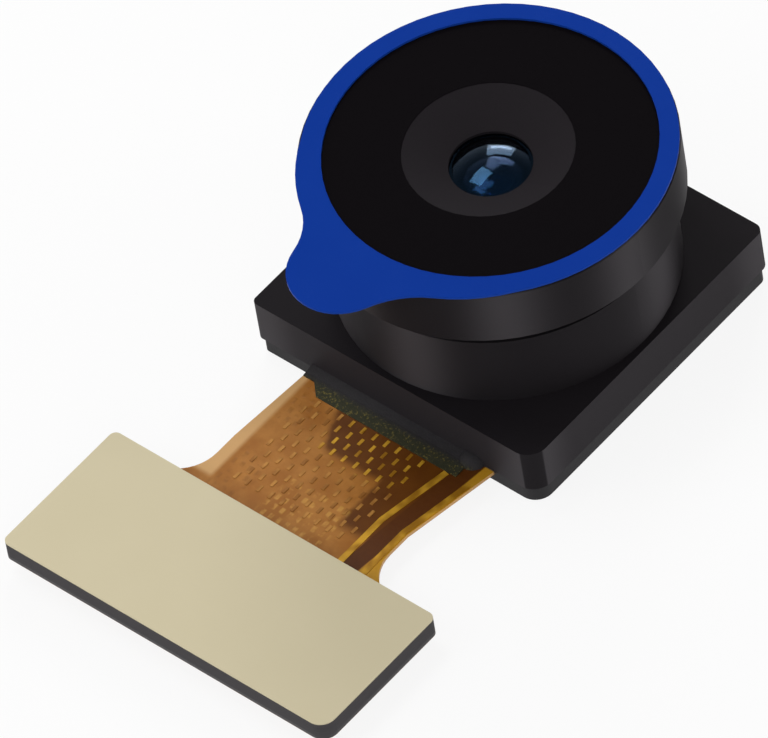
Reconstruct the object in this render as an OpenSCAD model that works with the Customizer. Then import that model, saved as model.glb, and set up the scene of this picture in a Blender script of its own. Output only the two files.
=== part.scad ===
// Compact camera module: a round lens barrel in a square holder, on a flex circuit that ends in a
// board-to-board connector. It lies on its back. The origin is the centre of the back face, +Z is
// the optical axis, and the flex leaves the holder towards -Y.

/* [Holder] */
// Side of the square base
holder_w = 8.5; // [8.3:0.1:10]
// Height of the square base
base_h = 1.24; // [1.2:0.02:1.8]
// Radius of the most rounded corner, at +X and -Y
round_corner_r = 0.5; // [0.2:0.05:0.9]
// Radius of the corner at +X and +Y
back_corner_r = 0.25; // [0.2:0.05:0.6]
// Radius of the two sharper corners, on the -X side
sharp_corner_r = 0.15; // [0.15:0.05:0.6]
// Diameter of the round collar
collar_d = 8.2; // [7.8:0.1:8.3]
// Height of the collar above the base
collar_h = 2.07; // [1.6:0.05:2.4]
// Diameter of the bore that takes the barrel's shank
shank_bore_d = 7.0; // [6.9:0.05:7.2]
// Side of the square cavity over the sensor
cavity_w = 7.3; // [7.2:0.05:7.4]
// Height of that cavity
cavity_h = 0.64; // [0.6:0.02:0.7]

/* [Lens barrel] */
// Diameter of the round head
head_d = 8.9; // [8.4:0.05:9.2]
// Height of the head
head_h = 1.6; // [1.4:0.05:2]
// Gap left for focusing between the head and the collar
focus_gap = 0.45; // [0.2:0.05:0.6]
// Length of the shank below the head
shank_l = 2.3; // [2.25:0.05:2.4]
// Free height between the end of the shank and the floor of its bore
shank_end_gap = 0.15; // [0.1:0.01:0.2]
// Clearance between the shank and its bore, on the radius
shank_clearance = 0.03; // [0.01:0.01:0.05]
// Bevel on the edges of the head
head_bevel = 0.05; // [0.02:0.01:0.12]
// Diameter of the conical well at the front
well_d = 4.08; // [3:0.02:5]
// Depth of the well
well_depth = 0.52; // [0.3:0.02:0.6]
// Diameter of the opening at the bottom of the well
opening_d = 1.98; // [1.5:0.02:2.2]
// Thickness of the lip round that opening
lip_t = 0.08; // [0.05:0.01:0.15]

/* [Lens stack] */
// Diameter of the front lens
lens1_d = 3.6; // [3.2:0.1:3.8]
// Edge thickness of the front lens
lens1_t = 0.56; // [0.5:0.02:0.65]
// Radius of the front lens's domed face
dome_r = 1.9; // [1.5:0.1:3]
// Diameter of the aperture stop and of the second lens
lens2_d = 4.2; // [4:0.05:4.4]
// Edge thickness of the second lens
lens2_t = 0.52; // [0.45:0.01:0.55]
// Width of the flat rim round every curved lens face
lens_rim = 0.9; // [0.86:0.02:1]
// Radius of the front lens's hollow rear face
lens1_rear_r = 1.6; // [1.3:0.1:3]
// Radius of the second lens's hollow front face
lens2_front_r = 6; // [5:0.5:20]
// Radius of the second lens's hollow rear face
lens2_rear_r = 3.4; // [3:0.1:10]
// Radius of the third lens's domed front face
lens3_front_r = 10; // [9:0.5:20]
// Radius of the third lens's hollow rear face
lens3_rear_r = 5; // [4:0.5:15]
// Radius of the fourth lens's hollow front face
lens4_front_r = 8; // [7:0.5:20]
// Radius of the fourth lens's hollow rear face
lens4_rear_r = 12; // [9:0.5:20]
// Diameter of the hole in the aperture stop
stop_hole_d = 0.9; // [0.6:0.1:1.4]
// Thickness of the aperture stop
stop_t = 0.05; // [0.03:0.01:0.08]
// Thickness of each spacer ring
spacer_t = 0.16; // [0.13:0.01:0.2]
// Width of each spacer ring's rim
spacer_rim = 0.8; // [0.5:0.05:0.85]
// Diameter of the third lens
lens3_d = 4.8; // [4.6:0.05:5]
// Edge thickness of the third lens
lens3_t = 0.56; // [0.5:0.01:0.6]
// Diameter of the fourth lens
lens4_d = 5.4; // [5.2:0.05:5.6]
// Edge thickness of the fourth lens
lens4_t = 0.6; // [0.5:0.01:0.65]
// Height of the ring that holds the stack in
retainer_h = 0.3; // [0.2:0.02:0.34]
// Width of that ring's rim
retainer_rim = 0.6; // [0.4:0.05:0.8]
// Clearance round every lens, on the radius
lens_clearance = 0.01; // [0.005:0.005:0.03]

/* [Protective film] */
// How far the film stays inside the edge of the barrel's head
film_margin = 0.04; // [0:0.01:0.1]
// Width of the film's ring
film_rim = 0.49; // [0.3:0.01:1]
// Thickness of the film
film_t = 0.06; // [0.04:0.01:0.1]
// How far the film was stuck off the optical axis, along X
film_shift_x = 0.02; // [-0.1:0.01:0.1]
// How far the film was stuck off the optical axis, along Y
film_shift_y = 0; // [-0.1:0.01:0.1]
// How far its hole was cut off the film's centre, away from the tab
hole_shift = 0.05; // [0:0.01:0.2]
// Radius of the pull tab's round end
tab_r = 1.31; // [0.9:0.01:1.6]
// How far the tab's centre lies outside the film's round edge
tab_reach = 0.33; // [0.2:0.01:0.9]
// Direction of the tab, turned from -Y towards -X
tab_turn = 5.5; // [-20:0.5:20]
// Blend radius on the tab's -X side
tab_blend_tight = 1.7; // [0.5:0.05:2.5]
// Blend radius on the tab's +X side
tab_blend_wide = 2.35; // [0.5:0.05:3]
// How far the wider part of the ring behind the tab is moved towards the tab
skirt_shift = 0.48; // [0.4:0.01:0.6]
// How much smaller the radius of that part is than the ring's
skirt_less = 0.27; // [0.15:0.01:0.35]

/* [Sensor] */
// Size of the sensor along X
sensor_x = 5.85; // [5.6:0.05:6]
// Size of the sensor along Y
sensor_y = 5.7; // [5.4:0.05:5.9]
// Thickness of the sensor
sensor_t = 0.2; // [0.15:0.01:0.25]
// Width of the light-sensitive field along X
field_x = 3.6; // [3:0.1:4]
// Width of the light-sensitive field along Y
field_y = 2.7; // [2:0.1:3]
// Width of the groove round that field
field_groove = 0.1; // [0.05:0.01:0.2]
// Side of the square infrared filter
filter_w = 6.0; // [5.7:0.05:6.2]
// Width of the ledge under the filter
filter_ledge = 0.5; // [0.3:0.05:0.8]
// Thickness of the filter
filter_t = 0.3; // [0.2:0.01:0.32]
// Clearance round the filter in its seat
filter_clearance = 0.05; // [0.02:0.01:0.1]
// Bond wires on each side of the sensor
wires_per_side = 14; // [8:1:15]
// Distance between bond wires
wire_pitch = 0.36; // [0.25:0.01:0.4]
// Thickness of a bond wire
wire_t = 0.03; // [0.02:0.005:0.04]
// How far a wire's loop rises above the sensor
wire_rise = 0.14; // [0.1:0.01:0.2]
// How far from the sensor's edge a wire lands, on either side
wire_reach = 0.3; // [0.2:0.01:0.4]
// Length of one capacitor
cap_l = 0.6; // [0.4:0.05:0.7]
// Width and height of one capacitor
cap_w = 0.3; // [0.2:0.02:0.32]
// Distance between the two capacitors of a row
cap_spacing = 2.8; // [1:0.1:5]

/* [Flex circuit] */
// Thickness of the flex
flex_t = 0.1; // [0.08:0.01:0.14]
// Thickness of the backing plate under the sensor
backing_t = 0.4; // [0.36:0.01:0.44]
// How far the flex and the backing plate stay inside the holder's sides
board_inset = 0.08; // [0.02:0.01:0.15]
// Distance of the flex's -X edge from the optical axis, at the connector end
neck_left = 2.75; // [2.4:0.05:3]
// How much nearer to the optical axis the -X edge is at the holder
root_taper = 0.18; // [0:0.02:0.4]
// Distance of its +X edge from the optical axis, at the connector end
neck_right = 2.5; // [2.4:0.02:2.9]
// How much wider the +X edge flares at the holder
root_flare = 0.45; // [0.1:0.05:0.6]
// Length of that flare
flare_l = 2.6; // [1:0.05:2.8]
// Length of the free flex, from the holder to the connector end
neck_l = 4.34; // [4:0.02:8]
// Corner radius between the neck and the connector end, -X side
fillet_left = 1.1; // [0.2:0.05:1.2]
// Corner radius between the neck and the connector end, +X side
fillet_right = 1.1; // [0.2:0.05:1.2]
// Thickness of the copper that shows through the cover layer
copper_t = 0.015; // [0.01:0.005:0.03]
// Width of one copper track
track_w = 0.16; // [0.1:0.01:0.2]
// Distance of the edge track from the flex's +X edge
edge_inset = 0.11; // [0.1:0.01:0.2]
// Distance of the inner track from the flex's +X edge
track_inset = 0.78; // [0.5:0.02:1]
// Length of one dash of the copper hatch
dash_l = 0.2; // [0.12:0.01:0.24]
// Width of one dash
dash_w = 0.08; // [0.05:0.01:0.1]
// Distance between dashes across the flex
dash_pitch_x = 0.35; // [0.25:0.01:0.4]
// Distance between rows of dashes along the flex
dash_pitch_y = 0.3; // [0.25:0.01:0.35]
// How far the dashes stay away from the connector end
hatch_clear = 0.4; // [0.2:0.05:1]
// How far the sealant reaches out from the holder
sealant_w = 0.65; // [0.4:0.05:0.8]
// Height of the sealant on the holder's side
sealant_h = 0.12; // [0.08:0.01:0.3]
// Thickness of its outer edge
sealant_tip = 0.02; // [0.01:0.005:0.04]
// Radius of the sealant blob at the +X end
blob_r = 0.36; // [0.2:0.02:0.45]

/* [Connector end] */
// Width of the connector end along X
end_w = 9.75; // [8:0.05:12]
// Length of the stiffener along Y
end_l = 4.02; // [3.4:0.02:5]
// Corner radius of the connector end at +X, on its far side
end_corner_r = 0.4; // [0.1:0.05:0.8]
// Radius of its other three corners
end_sharp_r = 0.18; // [0.1:0.02:0.8]
// Thickness of the stiffener
stiffener_t = 0.42; // [0.2:0.02:0.6]
// Thickness of the beige cover sheet
cover_t = 0.04; // [0.03:0.01:0.08]
// Contacts on each side of the connector
contacts_per_side = 12; // [8:1:16]
// Distance between contacts
contact_pitch = 0.4; // [0.35:0.05:0.4]
// Width of one contact
contact_w = 0.16; // [0.12:0.01:0.2]
// Thickness of the contact strip
contact_t = 0.05; // [0.04:0.01:0.06]
// Depth of the connector housing along Y
housing_y = 2.0; // [1.8:0.05:2.6]
// Thickness of the housing's long walls
housing_wall = 0.25; // [0.2:0.01:0.35]
// Length of the solid block at each end of the housing
housing_end = 0.8; // [0.6:0.05:1]
// Height of the slab that carries the housing's walls
housing_slab = 0.13; // [0.1:0.01:0.16]
// Length of a contact's foot
foot_l = 0.35; // [0.2:0.05:0.5]
// Width of a hold-down tab
tab_w = 1.2; // [0.8:0.05:1.5]

/* [Hidden] */
$fn = 96;
eps = 0.01;

// Heights, from the back face up
flex_z = backing_t;
deck_z = flex_z + flex_t;
base_top = deck_z + base_h;
collar_top = base_top + collar_h;
head_low = collar_top + focus_gap;
head_top = head_low + head_h;
shank_low = head_low - shank_l;
cavity_top = deck_z + cavity_h;
filter_top = cavity_top + filter_t;

// The lens stack hangs from the lip behind the well
lens1_top = head_top - well_depth - lip_t;
stop_top = lens1_top - lens1_t;
lens2_top = stop_top - stop_t;
spacer1_top = lens2_top - lens2_t;
lens3_top = spacer1_top - spacer_t;
spacer2_top = lens3_top - lens3_t;
lens4_top = spacer2_top - spacer_t;
retainer_top = lens4_top - lens4_t;
retainer_d = lens4_d + 2 * lens_clearance;
film_d = head_d - 2 * film_margin;

// Places along the flex
holder_face = -holder_w / 2;
end_near = holder_face - neck_l;
end_far = end_near - end_l;
end_y = (end_near + end_far) / 2;
root_left = neck_left - root_taper;
root_right = neck_right + root_flare;
sealant_edge = holder_face - sealant_w;
housing_x = (contacts_per_side - 1) * contact_pitch + 2 * housing_end;

// Blocks with straight sides and vertical edges
module slab(x, y, z, from) {
  translate([-x / 2, -y / 2, from]) cube([x, y, z]);
}

module rod(d, from, to) {
  translate([0, 0, from]) cylinder(d = d, h = to - from);
}

// A flat outline, thickened upwards
module sheet(from, t) {
  translate([0, 0, from]) linear_extrude(t) children();
}

// Rectangle from corner lo to corner hi; r gives the radius at (lo,lo), (hi,lo), (hi,hi), (lo,hi)
module rounded_rect(lo, hi, r) {
  corners = [[lo[0], lo[1]], [hi[0], lo[1]], [hi[0], hi[1]], [lo[0], hi[1]]];
  inward = [[1, 1], [-1, 1], [-1, -1], [1, -1]];
  function centre(i) = [corners[i][0] + inward[i][0] * r[i], corners[i][1] + inward[i][1] * r[i]];
  polygon([for (i = [0:3]) for (k = [0, 1])
    let (along_x = (i + k) % 2 == 1)
    along_x ? [centre(i)[0], corners[i][1]] : [corners[i][0], centre(i)[1]]]);
  for (i = [0:3]) translate(centre(i)) circle(r[i]);
}

// A strip of thickness t that follows the points p, as a flat outline
function unit(v) = v / norm(v);
function side(a, b) = let (u = unit(b - a)) [-u[1], u[0]];
function strip_side(p, t) = [for (i = [0:len(p) - 1])
  let (n0 = i > 0 ? side(p[i - 1], p[i]) : side(p[i], p[i + 1]),
       n1 = i < len(p) - 1 ? side(p[i], p[i + 1]) : n0,
       m = unit(n0 + n1))
  p[i] + m * t / (m * n0)];
function reversed(p) = [for (i = [len(p) - 1:-1:0]) p[i]];
function strip(p, t) = concat(strip_side(p, t / 2), reversed(strip_side(p, -t / 2)));

// Where a circle of radius r touches two circles from outside, on the side given by s
function blend_centre(a, ra, b, rb, r, s) =
  let (d = norm(b - a), u = (b - a) / d, v = [-u[1], u[0]],
       x = (pow(ra + r, 2) - pow(rb + r, 2) + d * d) / (2 * d))
  a + u * x + v * s * sqrt(pow(ra + r, 2) - x * x);

module protective_film() {
  toward = [-sin(tab_turn), -cos(tab_turn)];
  skirt_r = film_d / 2 - skirt_less;
  outer = [film_shift_x, film_shift_y];
  skirt = outer + skirt_shift * toward;
  tab = outer + (film_d / 2 + tab_reach) * toward;
  tight = blend_centre(skirt, skirt_r, tab, tab_r, tab_blend_tight, -1);
  wide = blend_centre(skirt, skirt_r, tab, tab_r, tab_blend_wide, 1);
  color("royalblue")
  translate([0, 0, head_top])
  linear_extrude(film_t)
  difference() {
    union() {
      translate(outer) circle(d = film_d);
      translate(skirt) circle(skirt_r);
      translate(tab) circle(tab_r);
      polygon([skirt, tight, tab, wide]);
    }
    translate(tight) circle(tab_blend_tight);
    translate(wide) circle(tab_blend_wide);
    translate(outer + [0, hole_shift]) circle(d = film_d - 2 * film_rim);
  }
}

// The barrel is one moulding: head, well, lip, stepped lens seats and shank
module lens_barrel() {
  shank_r = shank_bore_d / 2 - shank_clearance;
  seats = [[lens1_d, lens1_top, stop_top], [lens2_d, stop_top, spacer1_top],
           [lens3_d, spacer1_top, spacer2_top], [lens4_d, spacer2_top, shank_low]];
  bore = [for (s = seats) for (z = [s[1], s[2]]) [s[0] / 2 + lens_clearance, z]];
  outside = [[shank_r - 2 * head_bevel, shank_low], [shank_r, shank_low + 2 * head_bevel],
             [shank_r, head_low], [head_d / 2 - head_bevel, head_low],
             [head_d / 2, head_low + head_bevel], [head_d / 2, head_top - head_bevel],
             [head_d / 2 - head_bevel, head_top]];
  well = [[well_d / 2, head_top], [opening_d / 2, head_top - well_depth],
          [opening_d / 2, lens1_top]];
  color("dimgray")
  rotate_extrude()
  polygon(concat(outside, well, bore));
}

// A lens whose rim reaches down from top. A face radius above 0 bulges out and one below 0 is
// hollow; each face is curved inside the rim, or over front_clear where the lip stops it down.
module lens(d, t, top, front_r, rear_r, front_clear = 0) {
  rear_clear = d - 2 * lens_rim;
  clear = front_clear > 0 ? front_clear : rear_clear;
  difference() {
    union() {
      rod(d, top - t, top);
      if (front_r > 0) bulge(front_r, clear, top);
    }
    if (front_r < 0) hollow(-front_r, clear, top, 1);
    hollow(-rear_r, rear_clear, top - t, -1);
  }
}

function centre_height(r, clear) = sqrt(r * r - clear * clear / 4);

module bulge(r, clear, z) {
  intersection() {
    translate([0, 0, z - centre_height(r, clear)]) sphere(r);
    rod(clear, z - eps, z + r);
  }
}

module hollow(r, clear, z, up) {
  translate([0, 0, z + up * centre_height(r, clear)]) sphere(r);
}

module front_lens() {
  color("midnightblue")
  lens(lens1_d, lens1_t, lens1_top, dome_r, -lens1_rear_r, opening_d - 2 * lip_t);
}

module aperture_stop() {
  color("black")
  difference() {
    rod(lens2_d, lens2_top, stop_top);
    translate([0, 0, lens2_top - eps])
      cylinder(d1 = stop_hole_d + 2 * stop_t, d2 = stop_hole_d, h = stop_t + 2 * eps);
  }
}

module second_lens() {
  color("lightblue")
  lens(lens2_d, lens2_t, lens2_top, -lens2_front_r, -lens2_rear_r);
}

module third_lens() {
  color("lightblue")
  lens(lens3_d, lens3_t, lens3_top, lens3_front_r, -lens3_rear_r);
}

module fourth_lens() {
  color("lightblue")
  lens(lens4_d, lens4_t, lens4_top, -lens4_front_r, -lens4_rear_r);
}

module spacer(d, top) {
  color("black")
  difference() {
    rod(d, top - spacer_t, top);
    rod(d - 2 * spacer_rim, top - spacer_t - eps, top + eps);
  }
}

module front_spacer() {
  spacer(lens3_d, spacer1_top);
}

module rear_spacer() {
  spacer(lens4_d, spacer2_top);
}

// Its hole opens out towards the sensor
module retaining_ring() {
  color("black")
  difference() {
    rod(retainer_d, retainer_top - retainer_h, retainer_top);
    translate([0, 0, retainer_top - retainer_h - eps])
      cylinder(d1 = retainer_d - retainer_rim, d2 = retainer_d - 2 * retainer_rim,
               h = retainer_h + 2 * eps);
  }
}

// Outline of the square base, or of what lies inside it by the given distance
module base_outline(inset = 0) {
  h = holder_w / 2 - inset;
  radii = [sharp_corner_r, round_corner_r, back_corner_r, sharp_corner_r];
  rounded_rect([-h, -h], [h, h], [for (r = radii) r - inset / 2]);
}

// The holder is one moulding: square base, collar, sensor cavity, filter seat and threaded bore
module holder() {
  seat_w = filter_w + 2 * filter_clearance;
  window_w = filter_w - 2 * filter_ledge;
  color("dimgray")
  difference() {
    union() {
      sheet(deck_z, base_h) base_outline();
      rod(collar_d, base_top - eps, collar_top);
    }
    slab(cavity_w, cavity_w, cavity_h + eps, deck_z - eps);
    slab(seat_w, seat_w, filter_t, cavity_top);
    slab(window_w, window_w, base_h, filter_top - eps);
    rod(shank_bore_d, shank_low - shank_end_gap, collar_top + eps);
  }
}

module infrared_filter() {
  color("paleturquoise")
  slab(filter_w, filter_w, filter_t, cavity_top);
}

module image_sensor() {
  groove_z = deck_z + sensor_t - eps;
  color("slategray")
  difference() {
    slab(sensor_x, sensor_y, sensor_t, deck_z);
    difference() {
      slab(field_x + 2 * field_groove, field_y + 2 * field_groove, 2 * eps, groove_z);
      slab(field_x, field_y, 4 * eps, groove_z - eps);
    }
  }
}

module bond_wires() {
  pad = -wire_reach / 2;
  loop = [[pad, sensor_t], [pad, sensor_t + 0.7 * wire_rise], [0, sensor_t + wire_rise],
          [wire_reach, 2 * wire_t], [wire_reach, 0]];
  span = (wires_per_side - 1) * wire_pitch;
  color("gold")
  for (turn = [0, 180], i = [0:wires_per_side - 1])
    rotate(turn)
    translate([sensor_x / 2, i * wire_pitch - span / 2 + wire_t / 2, deck_z])
    rotate([90, 0, 0])
    linear_extrude(wire_t)
    polygon(strip(loop, wire_t));
}

module capacitor() {
  cap_end = cap_l / 5;
  body_w = 0.9 * cap_w;
  slab(cap_l, body_w, body_w, 0);
  for (s = [-1, 1]) translate([s * (cap_l - cap_end) / 2, 0, 0]) slab(cap_end, cap_w, cap_w, 0);
}

module capacitors() {
  row_y = (sensor_y + cavity_w) / 4;
  color("tan")
  for (x = [-1, 1], y = [-1, 1])
    translate([x * cap_spacing / 2, y * row_y, deck_z]) capacitor();
}

// One punched sheet: the pad under the holder, the neck and the connector end, with rounded inside
// corners where the neck meets the connector end
module flex_circuit() {
  neck_end = end_near - end_corner_r;
  color("darkorange")
  difference() {
    union() {
      sheet(flex_z, flex_t) base_outline(board_inset);
      sheet(flex_z, flex_t)
        polygon([[-root_left, 0], [-root_left, holder_face], [-neck_left, holder_face - flare_l],
                 [-neck_left, neck_end], [neck_right, neck_end],
                 [neck_right, holder_face - flare_l], [root_right, holder_face], [root_right, 0]]);
      sheet(flex_z, flex_t) end_outline();
      translate([-neck_left - fillet_left, end_near - eps, flex_z])
        cube([fillet_left + eps, fillet_left + eps, flex_t]);
      translate([neck_right - eps, end_near - eps, flex_z])
        cube([fillet_right + eps, fillet_right + eps, flex_t]);
    }
    translate([-neck_left - fillet_left, end_near + fillet_left, 0])
      rod(2 * fillet_left, flex_z - eps, deck_z + eps);
    translate([neck_right + fillet_right, end_near + fillet_right, 0])
      rod(2 * fillet_right, flex_z - eps, deck_z + eps);
  }
}

module end_outline() {
  r = end_sharp_r;
  rounded_rect([-end_w / 2, end_far], [end_w / 2, end_near], [r, end_corner_r, r, r]);
}

module backing_plate() {
  color("darkslategray")
  sheet(0, backing_t) base_outline(board_inset);
}

// Both long lines keep their distance from the flex's +X edge, flare and all
module copper_tracks() {
  flare_left = root_flare * (1 - sealant_w / flare_l);
  edge = [[neck_right + flare_left, sealant_edge - copper_t], [neck_right, holder_face - flare_l],
          [neck_right, end_near]];
  color("gold")
  sheet(deck_z, copper_t)
  for (inset = [edge_inset, track_inset])
    polygon(strip([for (p = edge) p - [inset, 0]], track_w));
}

// Staggered dashes of the ground area, between the inner track and the -X edge
module copper_hatch() {
  right = neck_right - track_inset - 2 * track_w;
  left = -root_left + 2 * track_w;
  rows = floor((sealant_edge - hatch_clear - end_near) / dash_pitch_y);
  columns = floor((right - left) / dash_pitch_x);
  color("gold")
  sheet(deck_z, copper_t)
  for (r = [0:rows - 1], c = [0:columns - 1])
    translate([right - (c + (r % 2) / 2) * dash_pitch_x, sealant_edge - (r + 0.5) * dash_pitch_y])
    square([dash_w, dash_l], center = true);
}

// A bead across the whole root of the flex, thin at its outer edge and narrower at the -X end,
// with a round blob at the +X end
module root_sealant() {
  right = neck_right - blob_r / 2;
  narrow = sealant_w / 2;
  color("darkolivegreen")
  union() {
    intersection() {
      translate([-root_left, holder_face, deck_z])
        rotate([90, 0, 90])
        linear_extrude(root_left + right)
        polygon([[0, 0], [0, sealant_h], [-sealant_w / 3, sealant_h / 2],
                 [-sealant_w, sealant_tip], [-sealant_w, 0]]);
      sheet(deck_z, sealant_h)
        polygon([[right, holder_face], [-root_left, holder_face],
                 [-root_left, holder_face - narrow], [-root_left + narrow, holder_face - narrow],
                 [-root_left + 2 * narrow, sealant_edge], [right, sealant_edge]]);
    }
    intersection() {
      translate([right, holder_face, deck_z - blob_r / 3]) sphere(blob_r);
      translate([0, holder_face - holder_w / 2, deck_z + holder_w / 2])
        cube(holder_w, center = true);
    }
  }
}

module connector_stiffener() {
  color("dimgray")
  sheet(deck_z, stiffener_t) end_outline();
}

module cover_sheet() {
  color("wheat")
  sheet(deck_z + stiffener_t, cover_t) end_outline();
}

// The housing hangs under the flex, with its mating side down
module connector_housing() {
  slab_top = flex_z - 0.02;
  trough_x = housing_x - 2 * housing_end + contact_pitch;
  wall_low = contact_t;
  color("ivory")
  translate([0, end_y, 0])
  difference() {
    slab(housing_x, housing_y, slab_top, 0);
    slab(trough_x, housing_y - 2 * housing_wall, slab_top - housing_slab + eps, -eps);
    for (s = [-1, 1])
      translate([0, s * (housing_y - housing_wall) / 2, 0])
      slab(trough_x, housing_wall + 2 * eps, wall_low + eps, -eps);
  }
}

// Each contact is one bent strip: foot on the flex, down the wall's outside, round its edge and
// up inside the trough
module contact_pins() {
  outer = housing_y / 2;
  inner = outer - housing_wall;
  half = contact_t / 2;
  bent = [[outer + foot_l, flex_z - half], [outer + half, flex_z - half], [outer + half, half],
          [inner - half, half], [inner - half, flex_z - housing_slab - 0.04]];
  span = (contacts_per_side - 1) * contact_pitch;
  color("goldenrod")
  translate([0, end_y, 0])
  for (turn = [0, 180], i = [0:contacts_per_side - 1])
    rotate(turn)
    translate([i * contact_pitch - span / 2 - contact_w / 2, 0, 0])
    rotate([90, 0, 90])
    linear_extrude(contact_w)
    polygon(strip(bent, contact_t));
}

module hold_down_tabs() {
  half = contact_t / 2;
  reach = housing_x / 2;
  bent = [[reach + foot_l, flex_z - half], [reach + half, flex_z - half], [reach + half, half + 0.05]];
  color("silver")
  translate([0, end_y, 0])
  for (turn = [0, 180])
    rotate(turn)
    translate([0, tab_w / 2, 0])
    rotate([90, 0, 0])
    linear_extrude(tab_w)
    polygon(strip(bent, contact_t));
}

protective_film();
lens_barrel();
front_lens();
aperture_stop();
second_lens();
front_spacer();
third_lens();
rear_spacer();
fourth_lens();
retaining_ring();
holder();
infrared_filter();
image_sensor();
bond_wires();
capacitors();
flex_circuit();
backing_plate();
copper_tracks();
copper_hatch();
root_sealant();
connector_stiffener();
cover_sheet();
connector_housing();
contact_pins();
hold_down_tabs();
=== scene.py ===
# %% [markdown]
# # A compact camera module
# A round lens barrel stands in a square black holder. A flex circuit leaves the holder on one side and ends
# in a small connector plate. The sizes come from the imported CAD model, which loads first and stays as it is:
# this script gives each CAD node its finish, and sets up the camera, the table and the lamps.
# Everything is in metres in one frame, and helpers turn millimetres into metres where a size is written.

# %% Load the frame
import math

import bpy
from mathutils import Matrix, Vector


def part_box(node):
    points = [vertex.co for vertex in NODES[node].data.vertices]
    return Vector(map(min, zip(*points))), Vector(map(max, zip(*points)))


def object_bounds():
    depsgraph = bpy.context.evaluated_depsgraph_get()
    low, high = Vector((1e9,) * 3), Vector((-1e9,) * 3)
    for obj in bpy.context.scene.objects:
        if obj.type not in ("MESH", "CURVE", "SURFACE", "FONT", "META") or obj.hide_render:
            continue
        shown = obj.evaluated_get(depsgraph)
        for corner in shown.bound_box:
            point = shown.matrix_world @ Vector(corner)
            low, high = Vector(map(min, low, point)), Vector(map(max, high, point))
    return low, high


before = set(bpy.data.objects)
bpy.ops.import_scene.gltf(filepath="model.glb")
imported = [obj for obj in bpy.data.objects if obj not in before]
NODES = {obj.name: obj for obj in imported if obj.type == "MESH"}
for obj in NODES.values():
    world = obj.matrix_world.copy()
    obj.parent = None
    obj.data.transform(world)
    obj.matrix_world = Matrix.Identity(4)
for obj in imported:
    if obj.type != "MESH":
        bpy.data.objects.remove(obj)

CAD_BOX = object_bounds()
MM = 0.001
print("nodes:", len(NODES), "box:", [tuple(round(v / MM, 3) for v in p) for p in CAD_BOX])

# %% [markdown]
# ## Places read from the CAD
# A finish often changes at an edge of a node, such as where the flex runs in under the holder. Those places
# are read from the nodes' boxes and never typed in twice. If the CAD changes, the finishes follow.

# %% Read the places
def span(node, axis):
    """The lowest and highest place of a node along x, y or z, in millimetres."""
    low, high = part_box(node)
    at = "xyz".index(axis)
    return low[at] / MM, high[at] / MM


FLEX_UNDER, DECK = span("flex_circuit", "z")
HEAD_TOP = span("lens_barrel", "z")[1]
HOLDER_FACE = span("holder", "y")[0]
SIDE = span("holder", "x")[1]
PLATE_NEAR = span("cover_sheet", "y")[1]
print("deck", DECK, "head top", HEAD_TOP)
print("holder face", HOLDER_FACE, "holder side", SIDE, "plate edge", PLATE_NEAR)

# %% [markdown]
# ## The camera
# The module is small and is looked at from far away with a long lens, so its edges stay nearly parallel.
# A perspective camera with a long focal length gives this. Its place follows from a direction, a roll and
# a distance, and its turn is written as three axes: right, up and back.

# %% Set up the camera
BACK = Vector((0.4815, -0.4383, 0.7590)).normalized()
ROLL = math.radians(-10.14)
DISTANCE = 368.1
FOCAL = 744.4
AIM = Vector((-0.032, 0.023, 1.74))
SLIDE = (-2.859, -2.440)


def camera_axes(back, roll):
    """Right and up of a camera that looks along -back, rolled about its own axis."""
    level = Vector((-back.y, back.x, 0)).normalized()
    rise = back.cross(level)
    right = math.cos(roll) * level + math.sin(roll) * rise
    up = math.cos(roll) * rise - math.sin(roll) * level
    return right, up


RIGHT, UP = camera_axes(BACK, ROLL)
if RIGHT.z > 0:
    RIGHT, UP = camera_axes(BACK, -ROLL)
camera = bpy.data.objects.new("camera", bpy.data.cameras.new("camera"))
bpy.context.scene.collection.objects.link(camera)
place = (AIM + SLIDE[0] * RIGHT + SLIDE[1] * UP + DISTANCE * BACK) * MM
turn = Matrix((RIGHT, UP, BACK)).transposed().to_4x4()
camera.matrix_world = Matrix.Translation(place) @ turn
camera.data.lens = FOCAL
camera.data.sensor_width = 36
camera.data.clip_start = 0.01
camera.data.clip_end = 10
bpy.context.scene.camera = camera
bpy.context.scene.view_settings.view_transform = "Standard"
print("camera at", [round(v, 4) for v in place], "lens", FOCAL)

# %% [markdown]
# ## Shader maths as plain sums
# A finish is a small program made of nodes. Wiring Math nodes by hand is slow to write and hard to read, so
# a small class wraps a node's output and lets Python's own signs add the nodes. `1 - mask` then makes
# a Subtract node. One method makes every other node: it takes the type, the settings and the sockets.

# %% Wrap sockets and nodes
class Wire:
    """One output of a node in one finish."""

    def __init__(self, finish, socket):
        self.finish, self.socket = finish, socket

    def __add__(self, other):
        return self.finish.sum("ADD", self, other)

    def __radd__(self, other):
        return self.finish.sum("ADD", other, self)

    def __sub__(self, other):
        return self.finish.sum("SUBTRACT", self, other)

    def __rsub__(self, other):
        return self.finish.sum("SUBTRACT", other, self)

    def __mul__(self, other):
        return self.finish.sum("MULTIPLY", self, other)

    def __rmul__(self, other):
        return self.finish.sum("MULTIPLY", other, self)

    def __truediv__(self, other):
        return self.finish.sum("DIVIDE", self, other)

    def __rtruediv__(self, other):
        return self.finish.sum("DIVIDE", other, self)


def linear(rgb):
    """A colour written as 0 to 255 on a screen, as the linear colour that a shader wants."""
    part = [v / 255 for v in rgb]
    part = [v / 12.92 if v <= 0.04045 else ((v + 0.055) / 1.055) ** 2.4 for v in part]
    return (*part, 1.0)


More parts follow.
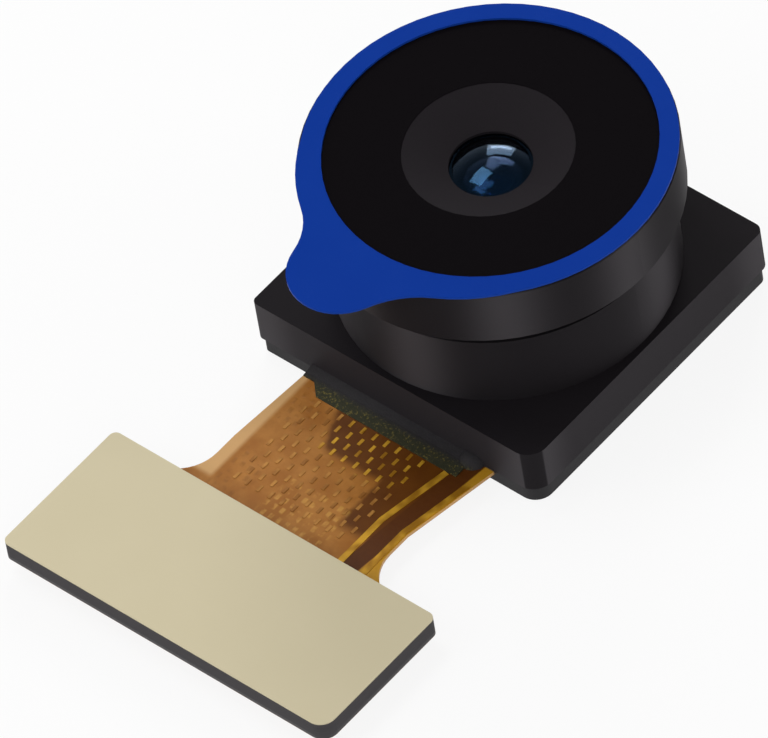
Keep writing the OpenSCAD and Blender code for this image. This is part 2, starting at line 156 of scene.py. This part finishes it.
class Finish:
    """A material built node by node. Colours are written 0 to 255 and sizes in millimetres."""

    def __init__(self, name):
        self.material = bpy.data.materials.new(name)
        self.material.use_nodes = True
        self.tree = self.material.node_tree
        self.tree.nodes.clear()
        self.place = self.node("ShaderNodeVectorMath", {"operation": "SCALE"},
                               {0: self.node("ShaderNodeTexCoord", out="Object"), "Scale": 1 / MM})
        self.x, self.y, self.z = (self.node("ShaderNodeSeparateXYZ", sockets={0: self.place}, out=axis)
                                  for axis in "XYZ")

    def node(self, kind, settings=None, sockets=None, out=0):
        """Adds a node. Settings come first, then the sockets, each given a value or a wire."""
        made = self.tree.nodes.new(kind)
        for key, value in (settings or {}).items():
            setattr(made, key, value)
        for key, value in (sockets or {}).items():
            if isinstance(value, Wire):
                self.tree.links.new(value.socket, made.inputs[key])
            else:
                made.inputs[key].default_value = value
        return Wire(self, made.outputs[out]) if made.outputs else made

    def sum(self, operation, *terms):
        return self.node("ShaderNodeMath", {"operation": operation}, dict(enumerate(terms)))

    def rise(self, value, start, end):
        """0 before start, 1 after end, and a smooth step between them."""
        return self.node("ShaderNodeMapRange", {"interpolation_type": "SMOOTHSTEP"},
                         {"Value": value, "From Min": start, "From Max": end})

    def between(self, value, low, high, soft):
        """1 from low to high, fading to 0 over the soft distance on both sides."""
        return self.rise(value, low - soft, low + soft) * (1 - self.rise(value, high - soft, high + soft))

    def noise(self, size, detail=2.0, rough=0.5, place=None):
        """Cloudy noise from 0 to 1 whose blotches are about this many millimetres across."""
        return self.node("ShaderNodeTexNoise", {"noise_dimensions": "3D"},
                         {"Vector": place or self.place, "Scale": 1 / size,
                          "Detail": detail, "Roughness": rough})

    def mix(self, factor, under, over):
        """Colour under where the factor is 0, over where it is 1."""
        ends = {6: under, 7: over}
        ends = {k: v if isinstance(v, Wire) else linear(v) for k, v in ends.items()}
        return self.node("ShaderNodeMix", {"data_type": "RGBA"}, {0: factor, **ends}, out=2)

    def bump(self, height, depth):
        """A normal from a height between 0 and 1 that stands for this many millimetres."""
        return self.node("ShaderNodeBump", None, {"Height": height, "Distance": depth * MM, "Strength": 1.0})

    def shade(self, **sockets):
        """A Principled shader. Names are given with _ for spaces, and a colour may be 0 to 255."""
        named = {}
        for key, value in sockets.items():
            key = key.replace("_", " ")
            if isinstance(value, tuple):
                value = linear(value)
            named[key] = value
        return self.node("ShaderNodeBsdfPrincipled", None, named)

    def blend(self, factor, under, over):
        """A Mix Shader between two shaders."""
        return self.node("ShaderNodeMixShader", None, {0: factor, 1: under, 2: over})

    def done(self, shader):
        """Puts the shader on the surface and gives the material."""
        self.node("ShaderNodeOutputMaterial", None, {"Surface": shader})
        return self.material


def wear(material, *objects):
    """Puts a finish on objects, in every slot that they have."""
    for obj in objects:
        if not obj.data.materials:
            obj.data.materials.append(material)
        for held in obj.material_slots:
            held.material = material


print("shader helpers ready")

# %% [markdown]
# ## The studio
# The module lies on a white table under soft light. The floor is a big plane that fades into a white
# surround, so no horizon shows. A pure white table comes from its own colour and a little glow that only
# the camera and mirrors see: it never lights the object, and the object's soft shadow stays on it.
# The surround is white low down and darker overhead, as in a studio, which keeps black parts black.

# %% Build the floor and the surround
def build_floor():
    """A plane just under the module. From below it is see-through, so the underside can be looked at."""
    bpy.ops.object.select_all(action="DESELECT")
    bpy.ops.mesh.primitive_plane_add(size=4, location=(0, 0, CAD_BOX[0].z - 0.01 * MM))
    floor = bpy.context.object
    floor.name = "floor"
    finish = Finish("white_table")
    rays = [finish.node("ShaderNodeLightPath", out=name)
            for name in ("Is Camera Ray", "Is Glossy Ray", "Is Transmission Ray")]
    seen = finish.sum("MAXIMUM", finish.sum("MAXIMUM", rays[0], rays[1]), rays[2])
    paper = finish.node("ShaderNodeBsdfDiffuse", None, {"Color": linear((244, 244, 244))})
    glow = finish.node("ShaderNodeEmission", None, {"Color": (1, 1, 1, 1), "Strength": 1.0})
    top = finish.blend(seen * 0.88, paper, glow)
    below = finish.node("ShaderNodeNewGeometry", out="Backfacing")
    clear = finish.node("ShaderNodeBsdfTransparent")
    wear(finish.done(finish.blend(below, top, clear)), floor)
    return floor


def build_surround(low=1.0, high=0.32):
    """World light that is white near the horizon and falls to a grey overhead."""
    world = bpy.data.worlds.new("studio")
    bpy.context.scene.world = world
    world.use_nodes = True
    tree = world.node_tree
    tree.nodes.clear()
    coord = tree.nodes.new("ShaderNodeTexCoord")
    split = tree.nodes.new("ShaderNodeSeparateXYZ")
    fade = tree.nodes.new("ShaderNodeMapRange")
    light = tree.nodes.new("ShaderNodeBackground")
    out = tree.nodes.new("ShaderNodeOutputWorld")
    fade.interpolation_type = "SMOOTHSTEP"
    for name, value in (("From Min", 0.15), ("From Max", 0.7), ("To Min", low), ("To Max", high)):
        fade.inputs[name].default_value = value
    tree.links.new(coord.outputs["Generated"], split.inputs[0])
    tree.links.new(split.outputs["Z"], fade.inputs["Value"])
    tree.links.new(fade.outputs[0], light.inputs["Strength"])
    tree.links.new(light.outputs[0], out.inputs["Surface"])


build_floor()
build_surround()
print("floor and surround set")

# %% [markdown]
# ## The lamps
# Soft boxes stand round the module. Their places are given as a turn from the camera, a height above the
# table and a size. Two of them, one behind and one overhead, are mirrored in the domed lens. Two lower ones
# in front make the upright streaks of light on the round black walls. The camera itself doesn't see them.

# %% Set up the lamps
LAMP_REACH = 110


def soft_box(name, turn, height, wide, tall, glow):
    """A rectangular lamp that looks at the module. Turn and height are degrees, sizes millimetres,
    and glow is how bright its face is, where 1 is white paper."""
    facing = math.atan2(BACK.y, BACK.x) + math.radians(turn)
    up = math.radians(height)
    toward = Vector((math.cos(up) * math.cos(facing), math.cos(up) * math.sin(facing), math.sin(up)))
    data = bpy.data.lights.new(name, "AREA")
    data.shape, data.size, data.size_y = "RECTANGLE", wide * MM, tall * MM
    data.energy = glow * math.pi * data.size * data.size_y
    lamp = bpy.data.objects.new(name, data)
    bpy.context.scene.collection.objects.link(lamp)
    lamp.location = (AIM + toward * LAMP_REACH) * MM
    lamp.rotation_mode = "QUATERNION"
    lamp.rotation_quaternion = toward.to_track_quat("Z", "Y")
    lamp.visible_camera = False
    solid_angle = wide * tall / LAMP_REACH ** 2
    return glow * solid_angle * math.sin(up) / math.pi


LEVEL = [
    soft_box("back_box", 167, 30, 46, 40, 4.5),
    soft_box("back_bar", 167, 25, 34, 10, 9.0),
    soft_box("top_box", -140, 68, 46, 34, 6.5),
    soft_box("front_box", -8, 34, 26, 60, 2.4),
    soft_box("side_box", 74, 34, 26, 60, 2.4),
    soft_box("left_box", -75, 40, 60, 60, 1.8),
]
print("light on a flat sheet from the lamps:", round(sum(LEVEL), 3))

# %% [markdown]
# ## Blue protective film
# The film is thin tinted plastic laid on the front ring. It is one even blue, with a soft gloss, tiny
# handling scuffs and a cut edge that looks lighter. Colour and roughness from soft noise do this: a real
# scuff is too fine to model.

# %% Finish the film
def film_finish():
    f = Finish("film_blue")
    cloud = f.noise(1.6, 3)
    scuff = f.rise(f.noise(0.05, 4, 0.7), 0.52, 0.75) * f.rise(f.noise(0.9, 2), 0.45, 0.7)
    tone = f.mix(cloud, (6, 51, 146), (11, 56, 152))
    edge = 1 - f.rise(f.z, HEAD_TOP + 0.045, HEAD_TOP + 0.055)
    tone = f.mix(edge * 0.5, tone, (30, 74, 168))
    tone = f.mix(scuff * 0.06, tone, (70, 105, 180))
    return f.done(f.shade(Base_Color=tone, Roughness=0.34 + scuff * 0.25, Specular_IOR_Level=0.03,
                          Normal=f.bump(f.noise(0.6, 2), 0.002)))


wear(film_finish(), NODES["protective_film"])
print("film:", span("protective_film", "z"))

# %% [markdown]
# ## Painted streaks of light on a round wall
# The round black walls get painted highlights: upright bands whose colour is painted lighter, in place of
# streaks of reflected light. A mask finds them: for each band, how nearly a point faces that way,
# raised to a high power, is 1 at the middle of the band and soon 0 beside it.

# %% Make the mask for streaks
HEAD_STREAKS = (-46, -5, 41, 84, 128, 171, 216, 262)
COLLAR_STREAKS = (-80, 13, 58, 104, 151, 197, 238)


def streaks(f, turns, tight):
    """Painted highlights as upright streaks on a round wall, centred at these turns about the axis, from 0 to
    1.
    """
    radius = f.sum("SQRT", f.x * f.x + f.y * f.y)
    total = None
    for turn in turns:
        a = math.radians(turn)
        toward = (f.x * math.cos(a) + f.y * math.sin(a)) / radius
        lobe = f.sum("POWER", f.sum("MAXIMUM", toward, 0.0), tight)
        total = lobe if total is None else f.sum("MAXIMUM", total, lobe)
    return total


print("streaks on the head:", len(HEAD_STREAKS), "and on the collar:", len(COLLAR_STREAKS))

# %% [markdown]
# ## Black lens barrel
# The barrel is a turned black part. Its flat face is dull and very dark, the cone round the lens is
# a little greyer, and its wall shows upright streaks. Hair-thin grooves round the wall smear each reflection
# along the axis, which anisotropic gloss turned a quarter does, and the mask adds painted highlights: upright
# bands painted lighter.

# %% Finish the barrel
def barrel_finish():
    f = Finish("barrel_black")
    radius = f.sum("SQRT", f.x * f.x + f.y * f.y)
    # Painted highlights: upright bands of the wall are painted lighter, in place of streaks of reflected light.
    painted_streak = streaks(f, HEAD_STREAKS, 60.0)
    grain = f.noise(0.03, 3, 0.6)
    grooves = f.sum("SINE", f.z * (2 * math.pi / 0.035)) * 0.5 + 0.5
    cone = f.rise(2.06 - radius, 0, 0.02) * f.rise(HEAD_TOP - 0.005 - f.z, 0, 0.01)
    flat = f.rise(f.z, HEAD_TOP - 0.04, HEAD_TOP - 0.004)
    wall = f.mix(painted_streak, f.mix(grain, (27, 24, 27), (33, 30, 33)),
                 f.mix(grain, (58, 55, 58), (66, 63, 66)))
    turned = f.shade(Base_Color=wall, Roughness=0.5 + grain * 0.1 - painted_streak * 0.1,
                     Specular_IOR_Level=0.08, Anisotropic=0.85, Anisotropic_Rotation=0.25,
                     Normal=f.bump(grooves, 0.0008))
    tone = f.mix(cone, f.mix(grain, (8, 5, 8), (11, 8, 11)), f.mix(grain, (33, 30, 33), (41, 38, 41)))
    dull = f.shade(Base_Color=tone, Roughness=0.6, Specular_IOR_Level=0.02, Normal=f.bump(grain, 0.001))
    front = f.sum("MAXIMUM", flat, cone)
    return f.done(f.blend(front, turned, dull))


wear(barrel_finish(), NODES["lens_barrel"])
print("barrel:", span("lens_barrel", "z"))

# %% [markdown]
# ## Coated lenses
# The front lens is dark glass with a blue anti-glare coating. Through it the black stop and the next lens
# are seen dimly. Real glass with a low mirror strength and a blue tint gives a dark pupil with blue lights.

# %% Finish the lenses
def lens_finish():
    f = Finish("lens_glass")
    dust = f.rise(f.noise(0.02, 2), 0.68, 0.75)
    tone = f.mix(f.noise(1.2), (120, 140, 175), (140, 155, 185))
    return f.done(f.shade(Base_Color=tone, Roughness=0.07 + dust * 0.05, IOR=1.45, Transmission_Weight=1.0,
                          Specular_Tint=(112, 188, 255)))


LENS = lens_finish()
wear(LENS, *(NODES[n] for n in ("front_lens", "second_lens", "third_lens", "fourth_lens")))
print("lens top:", span("front_lens", "z")[1])

# %% [markdown]
# ## Inner blacked parts
# The stop, the spacers and the retaining ring are blackened so that no stray light reaches the sensor. They
# are matt, with a fine tooth. One finish serves them all.

# %% Finish the blacked parts
def stop_finish():
    f = Finish("stop_black")
    tooth = f.noise(0.02, 3, 0.6)
    return f.done(f.shade(Base_Color=f.mix(tooth, (9, 9, 10), (22, 21, 23)), Roughness=0.7 + tooth * 0.2,
                          Specular_IOR_Level=0.15, Normal=f.bump(tooth, 0.002)))


STOP = stop_finish()
wear(STOP, *(NODES[n] for n in ("aperture_stop", "front_spacer", "rear_spacer", "retaining_ring")))
print("blacked parts: 4")

# %% [markdown]
# ## Black holder
# The holder is moulded black plastic: dull, with a fine spark-eroded tooth on its flats. Its straight sides are
# painted paler than its top, a painted reflection of the white surround, and paler still towards the corners,
# a painted highlight. Its round collar is smoother and has upright streaks of painted highlight. All come from
# one material, split by height.

# %% Finish the holder
BASE_TOP = 1.74          # where the square base ends and the round collar begins


def holder_finish():
    f = Finish("holder_black")
    tooth = f.noise(0.04, 4, 0.65)
    cloud = f.noise(1.5, 2)
    collar = f.rise(f.z, BASE_TOP + 0.01, BASE_TOP + 0.03)
    blotch = tooth * 0.6 + cloud * 0.4
    tone = f.mix(blotch, (27, 24, 27), (34, 31, 34))
    outer = f.sum("MAXIMUM", f.sum("ABSOLUTE", f.x), f.sum("ABSOLUTE", f.y))
    inner = f.sum("MINIMUM", f.sum("ABSOLUTE", f.x), f.sum("ABSOLUTE", f.y))
    # Painted reflection: the straight sides get a paler colour than the top, and a painted highlight makes them
    # paler still towards the corners.
    wall = f.rise(outer, SIDE - 0.02, SIDE - 0.008) * (1 - f.rise(f.z, BASE_TOP - 0.01, BASE_TOP))
    painted_corner_highlight = f.rise(inner, SIDE - 1.5, SIDE - 0.2)
    side = f.mix(painted_corner_highlight, f.mix(blotch, (46, 43, 46), (52, 49, 52)), f.mix(blotch, (68, 65, 68), (76, 73, 76)))
    flat = f.shade(Base_Color=f.mix(wall, tone, side), Roughness=0.55 + tooth * 0.15, Specular_IOR_Level=0.06,
                   Normal=f.bump(tooth, 0.0015))
    # Painted highlights: upright bands of the collar are painted lighter, in place of streaks of reflected
    # light.
    painted_streak = streaks(f, COLLAR_STREAKS, 45.0)
    painted_streak_tone = f.mix(painted_streak, tone, f.mix(blotch, (62, 59, 62), (70, 67, 70)))
    round_wall = f.shade(Base_Color=painted_streak_tone, Roughness=0.5 + tooth * 0.1, Specular_IOR_Level=0.08,
                         Anisotropic=0.85, Anisotropic_Rotation=0.25, Normal=f.bump(tooth, 0.001))
    return f.done(f.blend(collar, flat, round_wall))


wear(holder_finish(), NODES["holder"])
print("holder:", span("holder", "z"))

# %% [markdown]
# ## Flex circuit
# The flex is amber plastic film with copper inside. Where copper lies under the film it looks dark brown or
# gold, and where there is none it looks orange. The copper mesh shows as rows of small dashes. All of this
# is drawn in the material, in plan, because it lies inside a film a tenth of a millimetre thick.

# %% Finish the flex
TRACK_LEAN = 0.11        # how far the right-hand tracks lean to +X for each millimetre towards the holder
LEAN_FROM = -5           # the y at which a leaning place is written as it is
DARK_LANE = (2.12, 2.60)


def leaning(f):
    """x measured along the lean of the right-hand tracks."""
    return f.x + (f.y - LEAN_FROM) * -TRACK_LEAN


def dashes(f, pitch_x, pitch_y, wide, long):
    """Rows of short upright dashes, every second row moved by half a pitch. 1 on a dash."""
    row = f.sum("FLOOR", f.y / pitch_y)
    shift = f.sum("MODULO", f.sum("ABSOLUTE", row), 2.0) * 0.5
    along = f.sum("ABSOLUTE", f.sum("FRACT", f.x / pitch_x + shift) - 0.5) * pitch_x
    up = f.sum("ABSOLUTE", f.sum("FRACT", f.y / pitch_y) - 0.5) * pitch_y
    within = 1 - f.rise(along, wide / 2 - 0.02, wide / 2 + 0.02)
    return within * (1 - f.rise(up, long / 2 - 0.03, long / 2 + 0.03))


def flex_finish():
    f = Finish("flex_amber")
    waver = (f.noise(0.35, 3) - 0.5) * 0.25
    fine = f.noise(0.12, 3, 0.6)
    lean = leaning(f)
    tone = f.mix(f.rise(f.noise(0.7, 3), 0.3, 0.7), (166, 104, 34), (192, 130, 58))
    tone = f.mix(fine * 0.5, tone, (150, 94, 36))
    mesh = dashes(f, 0.24, 0.27, 0.11, 0.17) * f.rise(f.noise(0.22, 2), 0.35, 0.6)
    left_field = f.between(f.x + waver, -2.35, -1.5, 0.1) * (1 - f.between(f.y, -6.95, -5.95, 0.08))
    tone = f.mix(left_field * mesh * 0.45, tone, (134, 84, 26))
    low_field = f.between(f.x + waver, -0.85, 1.05, 0.12) * (1 - f.rise(f.y, -7.05, -6.95))
    tone = f.mix(low_field * mesh * 0.65, tone, (214, 160, 76))
    dark = f.between(f.x + waver + (f.y + 5) * 0.45, -1.2, 9, 0.12) * f.rise(f.y + waver * 0.5, -6.15, -5.85)
    deep = f.between(f.x + waver, 0.95, 2.2, 0.1) * f.rise(f.y + waver, -7.75, -7.35)
    dark = f.sum("MAXIMUM", dark, deep)
    tone = f.mix(dark * 0.95, tone, f.mix(f.noise(0.5, 2), (84, 42, 4), (112, 62, 8)))
    lane = f.between(lean, *DARK_LANE, 0.02)
    tone = f.mix(lane, tone, f.mix(fine, (84, 42, 12), (98, 54, 12)))
    gold_edge = f.rise(lean, DARK_LANE[1], DARK_LANE[1] + 0.04)
    tone = f.mix(gold_edge, tone, f.mix(fine, (192, 138, 26), (214, 160, 48)))
    rim = 1 - f.rise(f.x, -2.5, -2.34)
    tone = f.mix(rim * f.rise(f.y, -8.2, -8.0) * 0.75, tone, (226, 182, 124))
    # A dark band along the plate's near edge: squeezed-out glue, and painted shade at the plate's edge.
    glue_and_shade = f.between(f.y, PLATE_NEAR - 0.1, PLATE_NEAR + 0.1, 0.08) * f.rise(f.noise(0.12, 2), 0.2, 0.5)
    tone = f.mix(glue_and_shade * 0.85, tone, (44, 44, 34))
    under = 1 - f.rise(f.z, FLEX_UNDER + 0.002, FLEX_UNDER + 0.01)
    lanes = f.sum("ABSOLUTE", f.sum("FRACT", f.x / 0.24) - 0.5) * 0.24
    trace = (1 - f.rise(lanes, 0.05, 0.065)) * f.between(f.y, -8.6, -4.4, 0.05)
    tone = f.mix(under, tone, f.mix(trace, (150, 92, 32), (206, 146, 58)))
    wall = f.between(f.z, FLEX_UNDER + 0.01, DECK - 0.008, 0.004)
    tone = f.mix(wall * 0.8, tone, (222, 176, 120))
    hidden = f.sum("MAXIMUM", f.rise(f.y, HOLDER_FACE - 0.05, HOLDER_FACE),
                   1 - f.rise(f.y, PLATE_NEAR - 0.1, PLATE_NEAR))
    tone = f.mix(hidden * f.rise(f.z, FLEX_UNDER + 0.002, FLEX_UNDER + 0.01), tone, (62, 60, 62))
    relief = f.sum("MAXIMUM", mesh * (left_field + low_field) * 0.5, under * trace)
    return f.done(f.shade(Base_Color=tone, Roughness=0.34 + fine * 0.12, Specular_IOR_Level=0.22,
                          Normal=f.bump(relief + fine * 0.2, 0.008)))


wear(flex_finish(), NODES["flex_circuit"])
print("flex:", span("flex_circuit", "x"), span("flex_circuit", "y"))

# %% [markdown]
# ## Copper under the film
# The tracks and the mesh dashes are copper seen through amber film, so they look gold. They aren't equally
# bright: some lie deeper. Noise with blotches wider than a dash makes each one a little different.

# %% Finish the copper
def copper_finish():
    f = Finish("copper_gold")
    patch = f.rise(f.noise(0.45, 1), 0.35, 0.65)
    tone = f.mix(patch, (168, 116, 22), (224, 170, 48))
    tracks = f.rise(leaning(f), 1.75, 1.85)
    bright = f.sum("MAXIMUM", tracks, f.rise(f.x, -1.1, -0.7) * f.rise(f.y, -6.3, -5.9))
    tone = f.mix(bright, f.mix(patch, (150, 96, 34), (190, 134, 62)), tone)
    return f.done(f.shade(Base_Color=tone, Metallic=0.25, Roughness=0.38, Specular_IOR_Level=0.3,
                          Normal=f.bump(f.noise(0.05), 0.003)))


COPPER = copper_finish()
wear(COPPER, NODES["copper_tracks"], NODES["copper_hatch"])
print("copper:", span("copper_hatch", "x"), span("copper_hatch", "y"))

# %% [markdown]
# ## Sealant at the root
# A bead of dark glue seals the slot where the flex leaves the holder. Near the holder it is painted as grey as
# the holder's wall, whose paleness is a painted reflection. Further out it thins over the flex, looks greenish,
# and has dust in it. Two tones split by the distance from the holder, with specks from fine noise on the outer
# one, give both.

# %% Finish the sealant
def sealant_finish():
    f = Finish("sealant_dark")
    lump = f.noise(0.16, 3, 0.6)
    speck = f.rise(f.noise(0.07, 3, 0.7), 0.52, 0.7)
    far = 1 - f.rise(f.y, HOLDER_FACE - 0.45, HOLDER_FACE - 0.2)
    # The near tone copies the holder wall's grey, a painted reflection carried onto the bead.
    tone = f.mix(far, f.mix(lump, (46, 44, 46), (54, 52, 54)), f.mix(lump, (44, 48, 34), (66, 64, 48)))
    tone = f.mix(far * speck * 0.7, tone, (132, 118, 60))
    return f.done(f.shade(Base_Color=tone, Roughness=0.5 + lump * 0.2, Specular_IOR_Level=0.12,
                          Normal=f.bump(lump, 0.02)))


wear(sealant_finish(), NODES["root_sealant"])
print("sealant:", span("root_sealant", "x"), span("root_sealant", "y"))

# %% [markdown]
# ## Connector end
# The plate that backs the connector has a beige cover sheet on a grey board. The sheet is matt with a very
# faint fibre. The board's cut edge is dark grey and slightly streaked along its layers.

# %% Finish the cover sheet and the board
def cover_finish():
    f = Finish("cover_beige")
    fibre = f.noise(0.06, 4, 0.6)
    cloud = f.noise(2.2, 2)
    tone = f.mix(cloud, (212, 201, 168), (216, 205, 173))
    tone = f.mix(f.rise(fibre, 0.6, 0.8) * 0.3, tone, (220, 211, 182))
    return f.done(f.shade(Base_Color=tone, Roughness=0.62 + fibre * 0.2, Specular_IOR_Level=0.15,
                          Normal=f.bump(fibre, 0.002)))


def board_finish():
    f = Finish("stiffener_grey")
    pressed = f.node("ShaderNodeCombineXYZ", None, {0: f.x * 0.6, 1: f.y * 0.6, 2: f.z * 22})
    layers = f.noise(1.0, 3, 0.6, pressed)
    tone = f.mix(layers, (60, 58, 60), (78, 75, 77))
    return f.done(f.shade(Base_Color=tone, Roughness=0.6 + layers * 0.2, Specular_IOR_Level=0.15,
                          Normal=f.bump(layers, 0.003)))


wear(cover_finish(), NODES["cover_sheet"])
wear(board_finish(), NODES["connector_stiffener"])
print("plate:", span("cover_sheet", "x"), span("cover_sheet", "y"))

# %% [markdown]
# ## Connector and underside
# Under the plate sit an ivory connector housing, gold contacts and two tinned hold-down tabs. Under the
# holder a black backing plate closes the module.

# %% Finish the underside
def housing_finish():
    f = Finish("housing_ivory")
    grain = f.noise(0.05, 3)
    tone = f.mix(grain, (222, 212, 184), (232, 224, 200))
    return f.done(f.shade(Base_Color=tone, Roughness=0.42 + grain * 0.1,
                          Specular_IOR_Level=0.4, Normal=f.bump(grain, 0.0015)))


def metal_finish(name, dark, light, rough):
    f = Finish(name)
    rolled = f.noise(0.25, 3, 0.6)
    return f.done(f.shade(Base_Color=f.mix(rolled, dark, light), Metallic=1.0, Roughness=rough + rolled * 0.12,
                          Normal=f.bump(f.noise(0.03, 2), 0.001)))


def plate_finish():
    f = Finish("backing_black")
    tooth = f.noise(0.05, 4, 0.65)
    return f.done(f.shade(Base_Color=f.mix(tooth, (26, 25, 27), (40, 38, 41)), Roughness=0.5 + tooth * 0.2,
                          Specular_IOR_Level=0.25, Normal=f.bump(tooth, 0.003)))


wear(housing_finish(), NODES["connector_housing"])
wear(metal_finish("contact_gold", (212, 164, 82), (240, 200, 116), 0.22), NODES["contact_pins"])
wear(metal_finish("tab_silver", (176, 176, 178), (212, 212, 212), 0.30), NODES["hold_down_tabs"])
wear(plate_finish(), NODES["backing_plate"])
print("underside finished")

# %% [markdown]
# ## Parts inside the holder
# The filter, the sensor, its bond wires and the small capacitors can't be seen in the finished module. They
# still get their own finishes, so the model looks right when it is taken apart.

# %% Finish the inner parts
def filter_finish():
    f = Finish("filter_glass")
    return f.done(f.shade(Base_Color=f.mix(f.noise(1.5), (150, 205, 215), (175, 220, 225)), Roughness=0.05,
                          Transmission_Weight=1.0, IOR=1.5))


def sensor_finish():
    f = Finish("sensor_silicon")
    cells = f.sum("SINE", f.x * 400) * f.sum("SINE", f.y * 400) * 0.5 + 0.5
    active = f.between(f.x, -2.2, 2.2, 0.02) * f.between(f.y, -1.7, 1.7, 0.02)
    tone = f.mix(active, (70, 74, 84), f.mix(f.noise(1.5), (44, 52, 70), (64, 50, 74)))
    return f.done(f.shade(Base_Color=tone, Metallic=0.5, Roughness=0.25, Normal=f.bump(cells * active, 0.001)))


def capacitor_finish():
    f = Finish("capacitor_ceramic")
    grain = f.noise(0.06, 3)
    return f.done(f.shade(Base_Color=f.mix(grain, (150, 118, 88), (176, 142, 108)), Roughness=0.5 + grain * 0.1,
                          Normal=f.bump(grain, 0.003)))


wear(filter_finish(), NODES["infrared_filter"])
wear(sensor_finish(), NODES["image_sensor"])
wear(metal_finish("wire_gold", (220, 172, 84), (240, 198, 110), 0.2), NODES["bond_wires"])
wear(capacitor_finish(), NODES["capacitors"])
print("inner parts finished")
